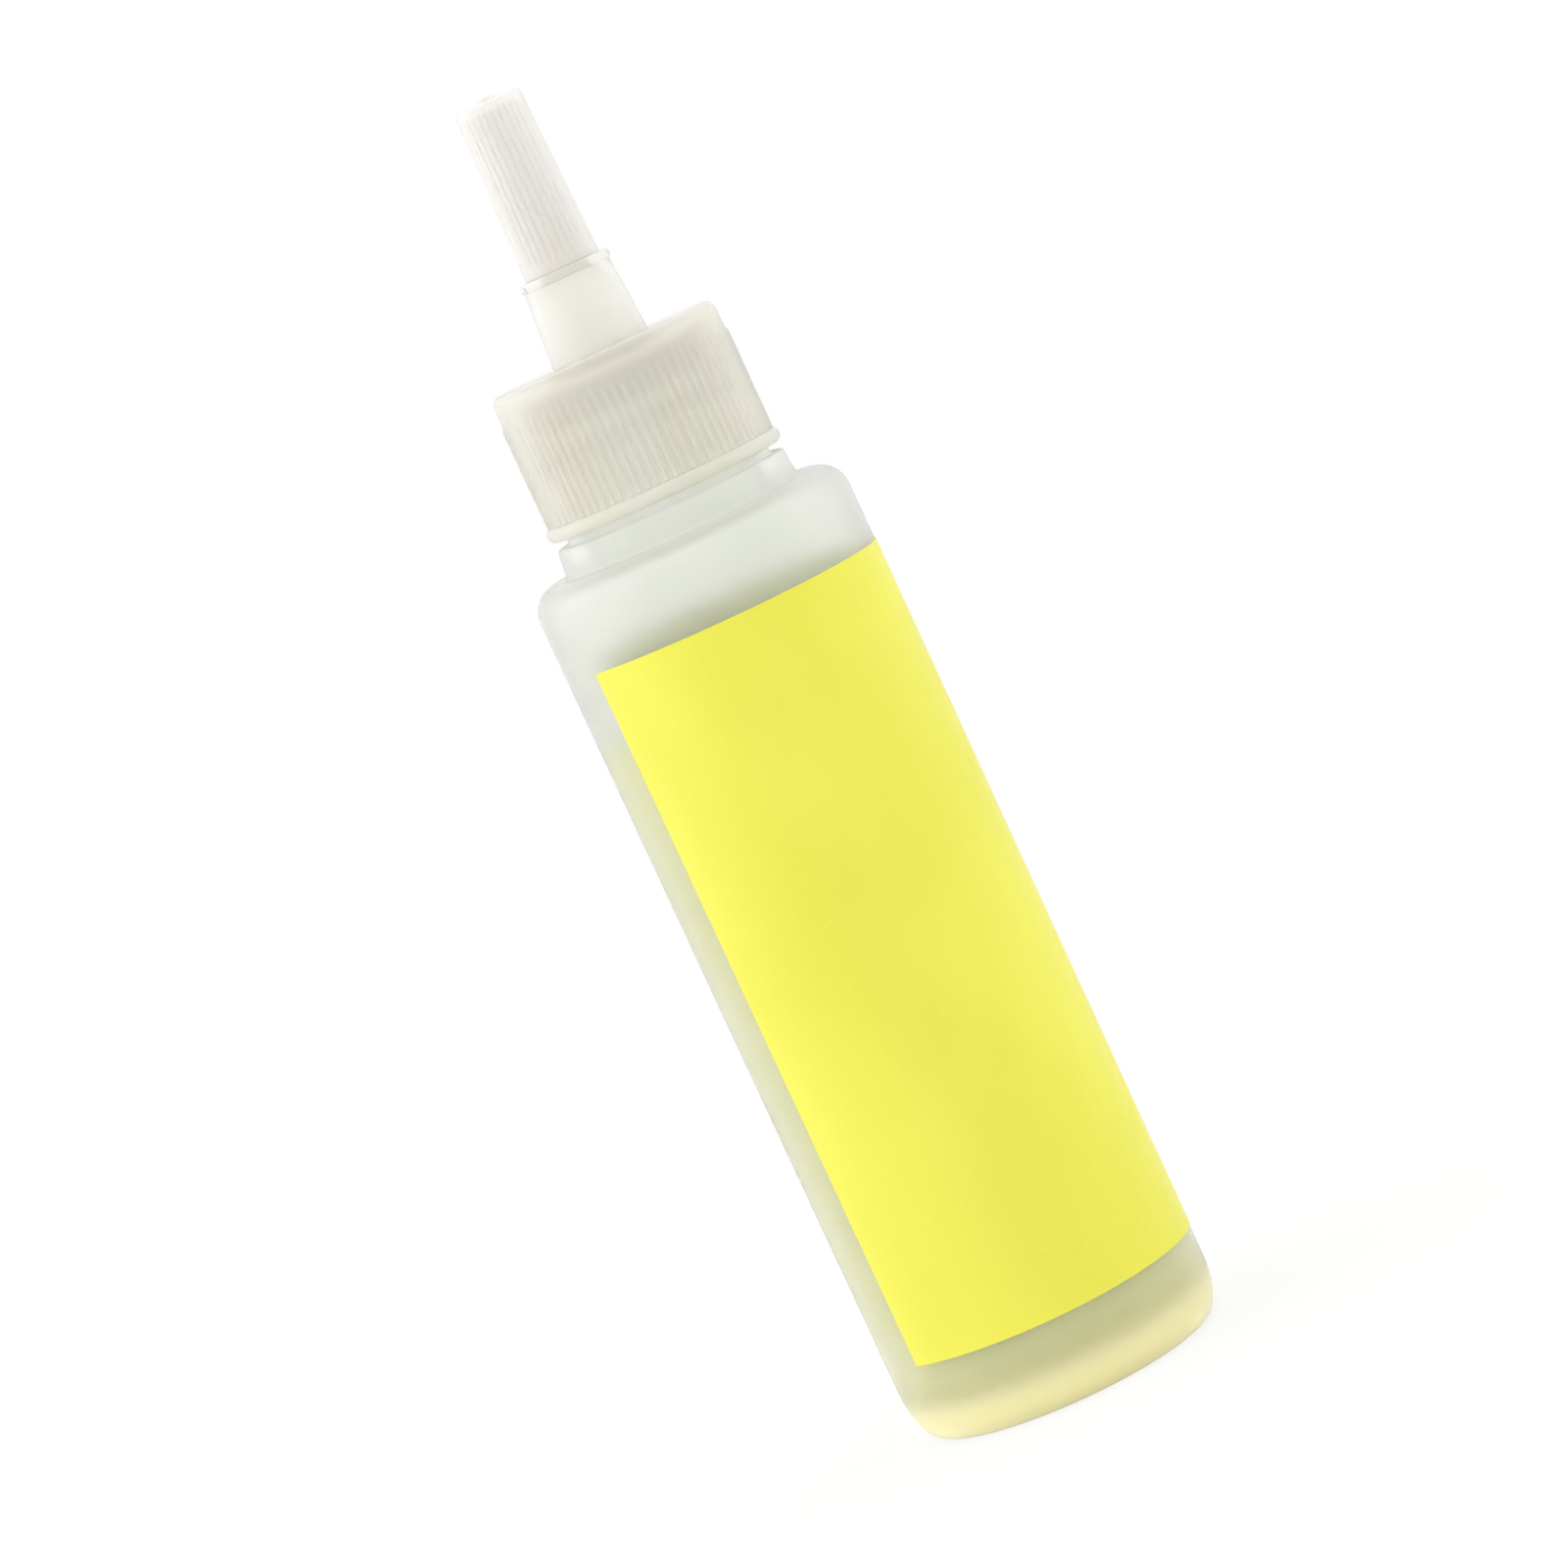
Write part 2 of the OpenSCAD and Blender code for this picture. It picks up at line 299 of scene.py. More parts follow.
def turn_profile(name: str, profile: Sequence[Point], sides: int, ends: Profile) -> bpy.types.Object:
    """Turns a profile into a solid round the upright axis, ring by ring.

    Args:
        name: Name of the new piece.
        profile: Points as radius and height.
        sides: Number of sides of each ring.
        ends: Whether the profile comes back to its start or ends on the axis twice.

    Returns:
        The turned piece, closed and with its faces outwards.
    """
    bpy.ops.object.select_all(action="DESELECT")
    bpy.ops.mesh.primitive_circle_add(vertices=sides, radius=profile[0][0], location=(0, 0, profile[0][1]))
    piece = take_new(name)
    start_edit(piece)
    bpy.ops.mesh.select_all(action="SELECT")
    for (radius, height), (next_radius, next_height) in zip(profile, profile[1:]):
        bpy.ops.mesh.extrude_edges_move(TRANSFORM_OT_translate={"value": (0, 0, next_height - height)})
        scale_round_axis(next_radius / radius)
    bpy.ops.mesh.select_all(action="SELECT")
    bpy.ops.mesh.remove_doubles(threshold=0.002 * MM)
    if ends is Profile.ON_AXIS:
        bpy.ops.mesh.fill_holes(sides=0)
        bpy.ops.mesh.select_mode(type="FACE")
        bpy.ops.mesh.select_face_by_sides(number=sides, type="EQUAL", extend=False)
        bpy.ops.mesh.poke()
    bpy.ops.mesh.select_all(action="SELECT")
    bpy.ops.mesh.normals_make_consistent(inside=False)
    end_edit()
    return piece


def apply_modifier(piece: bpy.types.Object, kind: str, **settings: object) -> None:
    """Adds a modifier to a piece and applies it.

    Args:
        piece: Piece to change.
        kind: Blender's name of the modifier.
        settings: Values of the modifier's properties.
    """
    bpy.ops.object.select_all(action="DESELECT")
    piece.select_set(True)
    bpy.context.view_layer.objects.active = piece
    modifier = piece.modifiers.new(kind.lower(), kind)
    for key, value in settings.items():
        setattr(modifier, key, value)
    bpy.ops.object.modifier_apply(modifier=modifier.name)


def merge(piece: bpy.types.Object, other: bpy.types.Object) -> None:
    """Merges another solid into a piece and deletes the other.

    Args:
        piece: Piece that stays.
        other: Solid that is merged into it.
    """
    apply_modifier(piece, "BOOLEAN", operation="UNION", object=other, solver="EXACT")
    bpy.data.objects.remove(other)


@dataclass(frozen=True)
class Thread:
    """Helical ridge on the upright axis, which fades into its wall at both ends."""

    root: float
    crest: float
    height: float
    turns: float
    root_width: float = 1.5 * MM
    crest_width: float = 0.7 * MM
    steps_per_turn: int = 72
    fade_turn: float = 40
    tail: float = 0.06
    soft_edge: float = 0.1 * MM

    def build(self) -> bpy.types.Object:
        """Sweeps the ridge's section up its helix.

        Returns:
            The ridge as a closed solid.
        """
        bpy.ops.object.select_all(action="DESELECT")
        bpy.ops.mesh.primitive_plane_add(size=1)
        ridge = take_new("thread")
        start_edit(ridge)
        for side, width, radius in ((1, self.crest_width, self.crest), (-1, self.root_width, self.root)):
            pick(ridge, lambda place: place.x * side > 0)
            bpy.ops.transform.resize(value=(1, width, 1), center_override=(0, 0, 0))
            bpy.ops.transform.translate(value=(radius - side / 2, 0, 0))
        bpy.ops.mesh.select_all(action="SELECT")
        stand_up()
        bpy.ops.transform.translate(value=(0, 0, self.height))
        bpy.ops.mesh.delete(type="ONLY_FACE")
        end_edit()
        steps = round(self.turns * self.steps_per_turn)
        apply_modifier(
            ridge,
            "SCREW",
            axis="Z",
            angle=math.tau * self.turns,
            screw_offset=STACK.pitch * self.turns,
            steps=steps,
            render_steps=steps,
        )
        start_edit(ridge)
        self._fade(ridge, steps)
        bpy.ops.mesh.select_all(action="SELECT")
        bpy.ops.mesh.fill_holes(sides=4)
        bpy.ops.mesh.normals_make_consistent(inside=False)
        end_edit()
        apply_modifier(ridge, "BEVEL", width=self.soft_edge, segments=2, limit_method="ANGLE")
        return ridge

    def _fade(self, ridge: bpy.types.Object, steps: int) -> None:
        """Lowers the crest towards the root near both ends of the ridge.

        Args:
            ridge: The swept ridge, open in edit mode.
            steps: Number of steps along the helix.
        """
        fade_steps = round(self.fade_turn / 360 * self.steps_per_turn)
        for step in [*range(fade_steps), *range(steps - fade_steps + 1, steps + 1)]:
            share = max(self.tail, min(step, steps - step) / fade_steps)
            turn = math.tau * step / self.steps_per_turn
            middle = self.height + STACK.pitch * step / self.steps_per_turn
            spot = Vector((self.crest * math.cos(turn), self.crest * math.sin(turn), middle))
            pick(ridge, lambda place: (place - spot).length < self.crest_width / 2 + 0.01 * MM)
            scale_round_axis((self.root + (self.crest - self.root) * share) / self.crest)


@dataclass(frozen=True)
class Ridges:
    """Upright ribs or flutes pressed into the columns of a turned piece."""

    count: int
    columns: int
    rise: float
    crest: tuple[int, ...]
    flank: tuple[int, ...]
    flank_share: float = 0.5

    @property
    def sides(self) -> int:
        """Number of sides that the turned piece needs."""
        return self.count * self.columns

    def press(self, piece: bpy.types.Object, rows: Sequence[Point]) -> None:
        """Moves the crests and flanks of the ridges in or out at each row.

        Args:
            piece: Turned piece with the right number of sides.
            rows: Rings that take the ridges, as radius and height.
        """
        step = math.tau / self.sides
        near = 0.01 * MM
        start_edit(piece)
        for radius, height in rows:
            for columns, share in ((self.crest, 1.0), (self.flank, self.flank_share)):

                def on_ridge(place: Vector) -> bool:
                    """Tells whether a vertex is on this row and these columns."""
                    column = round(math.atan2(place.y, place.x) / step) % self.columns
                    on_row = abs(place.z - height) < near and abs(place.xy.length - radius) < near
                    return on_row and column in columns

                pick(piece, on_ridge)
                scale_round_axis((radius + self.rise * share) / radius)
        end_edit()


# Finishes


def linear(colour: Colour) -> tuple[float, float, float, float]:
    """Turns a screen colour of 0 to 255 into the linear colour that shaders take."""
    shares = [c / 255 for c in colour]
    straight = [s / 12.92 if s <= 0.04045 else ((s + 0.055) / 1.055) ** 2.4 for s in shares]
    return (straight[0], straight[1], straight[2], 1.0)


class NodeBench:
    """Builds one material's nodes round its Principled shader."""

    def __init__(self, name: str) -> None:
        """Starts a material.

        Args:
            name: Name of the material.
        """
        self.material = bpy.data.materials.new(name)
        self.material.use_nodes = True
        self.nodes = self.material.node_tree.nodes
        self.links = self.material.node_tree.links
        self.shader = self.nodes["Principled BSDF"]
        self.place = self.nodes.new("ShaderNodeTexCoord").outputs["Object"]

    def set(self, **values: float | tuple[float, ...]) -> None:
        """Sets sockets of the shader, named with underscores for spaces."""
        for key, value in values.items():
            self.shader.inputs[key.replace("_", " ")].default_value = value

    def feed(self, socket: str, source: bpy.types.NodeSocket) -> None:
        """Feeds a socket of the shader from another node."""
        self.links.new(source, self.shader.inputs[socket])

    def noise(self, grain: float, detail: float = 2, stretch: Point = (1, 1)) -> bpy.types.NodeSocket:
        """Adds soft noise in the piece's own space.

        Args:
            grain: Size of the noise's features.
            detail: Number of finer layers.
            stretch: Length of the features across and up, as a share of their size.

        Returns:
            The noise as a value round 0.5.
        """
        mapping = self.nodes.new("ShaderNodeMapping")
        mapping.inputs["Scale"].default_value = (1 / stretch[0], 1 / stretch[0], 1 / stretch[1])
        noise = self.nodes.new("ShaderNodeTexNoise")
        noise.inputs["Scale"].default_value = 1 / grain
        noise.inputs["Detail"].default_value = detail
        self.links.new(self.place, mapping.inputs["Vector"])
        self.links.new(mapping.outputs["Vector"], noise.inputs["Vector"])
        return noise.outputs["Fac"]

    def spread(
        self, source: bpy.types.NodeSocket, low: float, high: float, start: float = 0.3, end: float = 0.7
    ) -> bpy.types.NodeSocket:
        """Maps a value smoothly from one range to another.

        Args:
            source: Value to map.
            low: Result at the start and below.
            high: Result at the end and above.
            start: Value that gives the low result.
            end: Value that gives the high result.

        Returns:
            The mapped value.
        """
        ramp = self.nodes.new("ShaderNodeMapRange")
        ramp.interpolation_type = "SMOOTHSTEP"
        for key, value in (("From Min", start), ("From Max", end), ("To Min", low), ("To Max", high)):
            ramp.inputs[key].default_value = value
        self.links.new(source, ramp.inputs["Value"])
        return ramp.outputs["Result"]

    def height_share(self, low: float, high: float) -> bpy.types.NodeSocket:
        """Gives a value that goes from 0 to 1 between two heights of the piece."""
        split = self.nodes.new("ShaderNodeSeparateXYZ")
        self.links.new(self.place, split.inputs[0])
        return self.spread(split.outputs["Z"], 0, 1, low, high)

    def mix(
        self,
        share: bpy.types.NodeSocket,
        first: bpy.types.NodeSocket | Colour,
        second: bpy.types.NodeSocket | Colour,
    ) -> bpy.types.NodeSocket:
        """Mixes two colours.

        Args:
            share: Share of the second colour.
            first: Colour or node at share 0.
            second: Colour or node at share 1.

        Returns:
            The mixed colour.
        """
        mixer = self.nodes.new("ShaderNodeMix")
        mixer.data_type = "RGBA"
        self.links.new(share, mixer.inputs["Factor"])
        for key, value in (("A", first), ("B", second)):
            socket = next(s for s in mixer.inputs if s.name == key and s.type == "RGBA")
            if isinstance(value, bpy.types.NodeSocket):
                self.links.new(value, socket)
            else:
                socket.default_value = linear(value)
        return next(s for s in mixer.outputs if s.type == "RGBA")

    def bump(
        self, source: bpy.types.NodeSocket, depth: float, under: bpy.types.NodeSocket | None = None
    ) -> bpy.types.NodeSocket:
        """Turns a value into relief.

        Args:
            source: Value that gives the height.
            depth: Height of the relief between value 0 and value 1.
            under: Relief that this one lies on.

        Returns:
            The relief as a normal.
        """
        relief = self.nodes.new("ShaderNodeBump")
        relief.inputs["Strength"].default_value = 1
        relief.inputs["Distance"].default_value = depth
        self.links.new(source, relief.inputs["Height"])
        if under is not None:
            self.links.new(under, relief.inputs["Normal"])
        return relief.outputs["Normal"]


class Finish(ABC):
    """Finish of one piece."""

    @abstractmethod
    def material(self) -> bpy.types.Material:
        """Makes the material."""


@dataclass(frozen=True)
class MouldedPlastic(Finish):
    """Milky polyethylene, which lets light in and scatters it."""

    name: str
    colour: Colour
    drift: Colour
    roughness: float = 0.45
    roughness_drift: float = 0.1
    refraction: float = 1.1
    transmission: float = 0.7
    edge_glow: float = 0.3
    skin: float = 0.6
    skin_roughness: float = 0.35
    wave: float = 9 * MM
    wave_depth: float = 0.02 * MM
    grain: float = 0.35 * MM
    grain_depth: float = 0.003 * MM

    def material(self) -> bpy.types.Material:
        """Makes the material.

        Returns:
            The finished material.
        """
        bench = NodeBench(self.name)
        bench.set(
            IOR=self.refraction,
            Sheen_Weight=self.edge_glow,
            Sheen_Roughness=0.5,
            Transmission_Weight=self.transmission,
            Coat_Weight=self.skin,
            Coat_Roughness=self.skin_roughness,
            Coat_IOR=1.5,
        )
        bench.feed("Base Color", self.tint(bench))
        cloud = bench.noise(4 * MM, 3, (1, 2))
        low, high = self.roughness - self.roughness_drift / 2, self.roughness + self.roughness_drift / 2
        bench.feed("Roughness", bench.spread(cloud, low, high))
        waves = bench.bump(bench.noise(self.wave, 1, (1, 2.5)), self.wave_depth)
        bench.feed("Normal", bench.bump(bench.noise(self.grain, 2), self.grain_depth, waves))
        return bench.material

    def tint(self, bench: NodeBench) -> bpy.types.NodeSocket:
        """Gives the colour, which drifts softly over the piece.

        Args:
            bench: Nodes of the material.

        Returns:
            The colour as a node's output.
        """
        return bench.mix(bench.spread(bench.noise(12 * MM, 2, (1, 1.6)), 0, 1), self.colour, self.drift)


@dataclass(frozen=True)
class WettedPlastic(MouldedPlastic):
    """Milky plastic that takes the lubricant's tint up to its level, with a painted glow at its base."""

    wet: Colour = (248, 248, 221)
    # Painted glow: a warm, pale colour at the base that stands in for light gathered there, not a colour of the
    # plastic.
    glow: Colour = (255, 248, 188)
    level: float = 73.2 * MM
    blur: float = 1.5 * MM
    glow_foot: float = 1.5 * MM
    glow_top: float = 6.5 * MM
    base_transmission: float = 0.25

    def tint(self, bench: NodeBench) -> bpy.types.NodeSocket:
        """Gives the colour, tinted below the level, and paints a warmer, paler glow at the base, which is also
        made milkier.

        Args:
            bench: Nodes of the material.

        Returns:
            The colour as a node's output.
        """
        dry = bench.height_share(self.level - self.blur, self.level + self.blur)
        # Painted glow: below glow_top the wall takes the glow colour and passes less light, so the base shows
        # brighter.
        wall_glow_fade = bench.height_share(self.glow_foot, self.glow_top)
        passing = bench.spread(wall_glow_fade, self.base_transmission, self.transmission, 0, 1)
        bench.feed("Transmission Weight", passing)
        return bench.mix(dry, bench.mix(wall_glow_fade, self.glow, self.wet), super().tint(bench))


@dataclass(frozen=True)
class FilmLabel(Finish):
    """Satin wrap film, printed in one plain colour."""

    name: str = "yellow_film"
    colour: Colour = (238, 234, 80)
    shade: Colour = (232, 228, 72)
    light: Colour = (244, 241, 96)
    roughness: float = 0.4
    scatter: float = 0.12
    scatter_reach: float = 0.6 * MM

    def material(self) -> bpy.types.Material:
        """Makes the material.

        Returns:
            The finished material.
        """
        bench = NodeBench(self.name)
        bench.set(
            IOR=1.48,
            Subsurface_Weight=self.scatter,
            Subsurface_Scale=self.scatter_reach,
            Subsurface_Radius=(1.0, 0.95, 0.5),
        )
        cloud = bench.mix(bench.spread(bench.noise(14 * MM, 2, (1, 1.8)), 0, 1), self.colour, self.shade)
        fleck = bench.spread(bench.noise(0.5 * MM, 3), 0, 0.35, 0.55, 0.8)
        bench.feed("Base Color", bench.mix(fleck, cloud, self.light))
        rough = bench.spread(bench.noise(1.5 * MM, 3), self.roughness - 0.05, self.roughness + 0.07)
        bench.feed("Roughness", rough)
        ripple = bench.bump(bench.noise(11 * MM, 1, (1, 2)), 0.03 * MM)
        bench.feed("Normal", bench.bump(bench.noise(0.3 * MM, 2), 0.002 * MM, ripple))
        return bench.material


@dataclass(frozen=True)
class Lubricant(Finish):
    """Clear oil with a pale yellow tint, and a painted glow near its base."""

    name: str = "lubricant"
    colour: Colour = (247, 249, 204)
    # Painted glow: a brighter, warmer colour near the base that stands in for light gathered there.
    painted_oil_glow: Colour = (255, 250, 198)
    glow_foot: float = 2 * MM
    glow_top: float = 7 * MM

    def material(self) -> bpy.types.Material:
        """Makes the material.

        Returns:
            The finished material.
        """
        bench = NodeBench(self.name)
        bench.set(
            IOR=1.2,
            Transmission_Weight=0.25,
            Subsurface_Weight=0.7,
            Subsurface_Scale=8 * MM,
            Subsurface_Radius=(1.0, 0.95, 0.6),
        )
        # Painted glow: the oil fades from the glow colour at the base to its own tint above glow_top.
        oil_glow_fade = bench.height_share(self.glow_foot, self.glow_top)
        bench.feed("Base Color", bench.mix(oil_glow_fade, self.painted_oil_glow, self.colour))
        bench.feed("Roughness", bench.spread(bench.noise(16 * MM, 1), 0.06, 0.14))
        bench.feed("Normal", bench.bump(bench.noise(18 * MM, 1), 0.02 * MM))
        return bench.material


# Pieces


class Piece(ABC):
    """Piece of the bottle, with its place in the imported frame."""

    body: ClassVar[Body]
    slot: ClassVar[Slot]
    node: ClassVar[str]
    crease: ClassVar[float] = 32
    finish: Finish

    @abstractmethod
    def model(self) -> bpy.types.Object:
        """Models the bare piece."""

    def build(self) -> bpy.types.Object:
        """Models, dresses and places the piece.

        Returns:
            The finished piece, which stands in for its node.
        """
        piece = self.model()
        bpy.ops.object.select_all(action="DESELECT")
        piece.select_set(True)
        bpy.context.view_layer.objects.active = piece
        bpy.ops.object.shade_smooth_by_angle(angle=math.radians(self.crease))
        piece.data.materials.append(self.finish.material())
        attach(piece, self.body.value)
        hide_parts(self.node)
        LOG.info("%s: %d faces", piece.name, len(piece.data.polygons))
        return piece


@dataclass
class BottleBody(Piece):
    """Blown body with its raised base, shoulder, neck, collar and neck thread."""

    body: ClassVar[Body] = Body.BOTTLE
    slot: ClassVar[Slot] = Slot.BOTTLE
    node: ClassVar[str] = "bottle"
    radius: float = 16 * MM
    wall: float = 0.9 * MM
    base_reach: float = 2.1 * MM
    base_rise: float = 5.1 * MM
    standing_width: float = 2.4 * MM
    push_up: float = 1.5 * MM
    shoulder_round: float = 2.8 * MM
    neck_radius: float = 9.7 * MM
    bore_radius: float = 8.4 * MM
    neck_root: float = 1.2 * MM
    thread_rise: float = 0.7 * MM
    collar_width: float = 1.3 * MM
    collar_flare: float = 0.225 * MM
    soft_edge: float = 0.35 * MM
    sides: int = 192
    finish: Finish = field(
        default_factory=lambda: WettedPlastic(
            name="frosted_body",
            colour=(250, 251, 247),
            drift=(245, 247, 241),
            roughness=0.5,
            transmission=0.85,
            wave_depth=0.04 * MM,
        )
    )

    def model(self) -> bpy.types.Object:
        """Models the bare body.

        Returns:
            The body with its thread.
        """
        body = turn_profile("blown_body", self.outside() + self.inside(), self.sides, Profile.ON_AXIS)
        crest = self.neck_radius + self.thread_rise
        root = self.neck_radius - 0.2 * MM
        merge(body, Thread(root, crest, STACK.neck_thread, STACK.neck_turns).build())
        return body

    def section(self, inset: float, top: float) -> list[Point]:
        """Gives the body's section from the middle of its base up to the shoulder's corner.

        Args:
            inset: Distance inside the outer wall, and above the base.
            top: Height of the shoulder.

        Returns:
            Points as radius and height.
        """
        radius = self.radius - inset
        foot = radius - self.base_reach
        return [
            *dome(foot - self.standing_width, inset, self.push_up),
            *arc((foot, inset + self.base_rise), (self.base_reach, self.base_rise), -90, 0, 10),
            *corner(radius, top, self.shoulder_round - inset, 8),
        ]

    def outside(self) -> list[Point]:
        """Gives the outer section from the middle of the base up to the mouth."""
        edge = self.soft_edge
        land_radius = self.neck_radius + self.thread_rise
        collar_radius = land_radius + self.collar_width
        crease = (collar_radius + self.collar_flare + edge, STACK.body + edge)
        land_top = STACK.collar_top + STACK.land
        return [
            *self.section(0, STACK.body),
            *arc(crease, (edge, edge), 270, 180),
            *corner(collar_radius, STACK.collar_top, edge),
            *arc((land_radius + edge, STACK.collar_top + edge), (edge, edge), 270, 180, 3),
            (land_radius, land_top - self.thread_rise),
            (self.neck_radius, land_top),
            *corner(self.neck_radius, STACK.mouth, edge),
        ]

    def inside(self) -> list[Point]:
        """Gives the inner section from the mouth down to the middle of the base."""
        edge = self.soft_edge
        ceiling = STACK.body - self.wall
        root = (self.bore_radius + self.neck_root, ceiling + self.neck_root)
        return [
            *arc((self.bore_radius + edge, STACK.mouth - edge), (edge, edge), 90, 180),
            *arc(root, (self.neck_root, self.neck_root), 180, 270),
            *reversed(self.section(self.wall, ceiling)),
        ]


@dataclass
class WrapLabel(Piece):
    """Plain film round the body, open on the left."""

    body: ClassVar[Body] = Body.BOTTLE
    slot: ClassVar[Slot] = Slot.LABEL
    node: ClassVar[str] = "label"
    crease: ClassVar[float] = 40
    radius: float = 16.01 * MM
    thickness: float = 0.1 * MM
    foot: float = 8.5 * MM
    height: float = 71.9 * MM
    width: float = 80 * MM
    edge_turn: float = 54.7
    rows: int = 24
    steps: int = 200
    finish: Finish = field(default_factory=FilmLabel)

    def model(self) -> bpy.types.Object:
        """Models the bare label.

        Returns:
            The film with its real thickness.
        """
        sweep = self.width / (16 * MM)
        bpy.ops.object.select_all(action="DESELECT")
        bpy.ops.mesh.primitive_plane_add(size=1)
        label = take_new("wrap_label")
        start_edit(label)
        pick(label, lambda place: place.x > 0)
        bpy.ops.mesh.delete(type="VERT")
        bpy.ops.mesh.select_all(action="SELECT")
        stand_up()
        bpy.ops.transform.resize(value=(1, 1, self.height), center_override=(0, 0, 0))
        bpy.ops.transform.translate(value=(self.radius + 0.5, 0, self.foot + self.height / 2))
        bpy.ops.mesh.subdivide(number_cuts=self.rows - 1)
        start = math.radians(270 - self.edge_turn)
        bpy.ops.transform.rotate(value=-start, orient_axis="Z", orient_type="GLOBAL", center_override=(0, 0, 0))
        bpy.ops.mesh.select_all(action="SELECT")
        bpy.ops.mesh.spin(steps=self.steps, angle=sweep, center=(0, 0, 0), axis=(0, 0, -1))
        bpy.ops.mesh.select_all(action="SELECT")
        bpy.ops.mesh.remove_doubles(threshold=0.001 * MM)
        bpy.ops.mesh.normals_make_consistent(inside=False)
        end_edit()
        first = label.data.polygons[0]
        outwards = first.normal.xy.dot(first.center.xy) > 0
        side = 1 if outwards else -1
        apply_modifier(label, "SOLIDIFY", thickness=self.thickness * side, offset=1, use_even_offset=True)
        return label


@dataclass
class OilFill(Piece):
    """Lubricant in the body, with a meniscus where it meets the wall."""

    body: ClassVar[Body] = Body.BOTTLE
    slot: ClassVar[Slot] = Slot.OIL
    node: ClassVar[str] = "oil_fill"
    crease: ClassVar[float] = 40
    bottle: BottleBody
    level: float = 73.2 * MM
    film: float = 0.05 * MM
    meniscus: float = 0.5 * MM
    sides: int = 160
    finish: Finish = field(default_factory=Lubricant)

    def model(self) -> bpy.types.Object:
        """Models the bare filling.

        Returns:
            The lubricant up to its level.
        """
        shape = self.bottle
        inset = shape.wall + self.film
        radius = shape.radius - inset
        foot = radius - shape.base_reach
        reach = 2 * self.meniscus
        profile = [
            *dome(foot - shape.standing_width, inset, shape.push_up),
            *arc((foot, inset + shape.base_rise), (shape.base_reach, shape.base_rise), -90, 0, 10),
            *arc((radius - reach, self.level), (reach, self.meniscus), 0, -90, 5),
            (0.5 * MM, self.level - self.meniscus),
        ]
        return turn_profile("lubricant_fill", profile, self.sides, Profile.ON_AXIS)


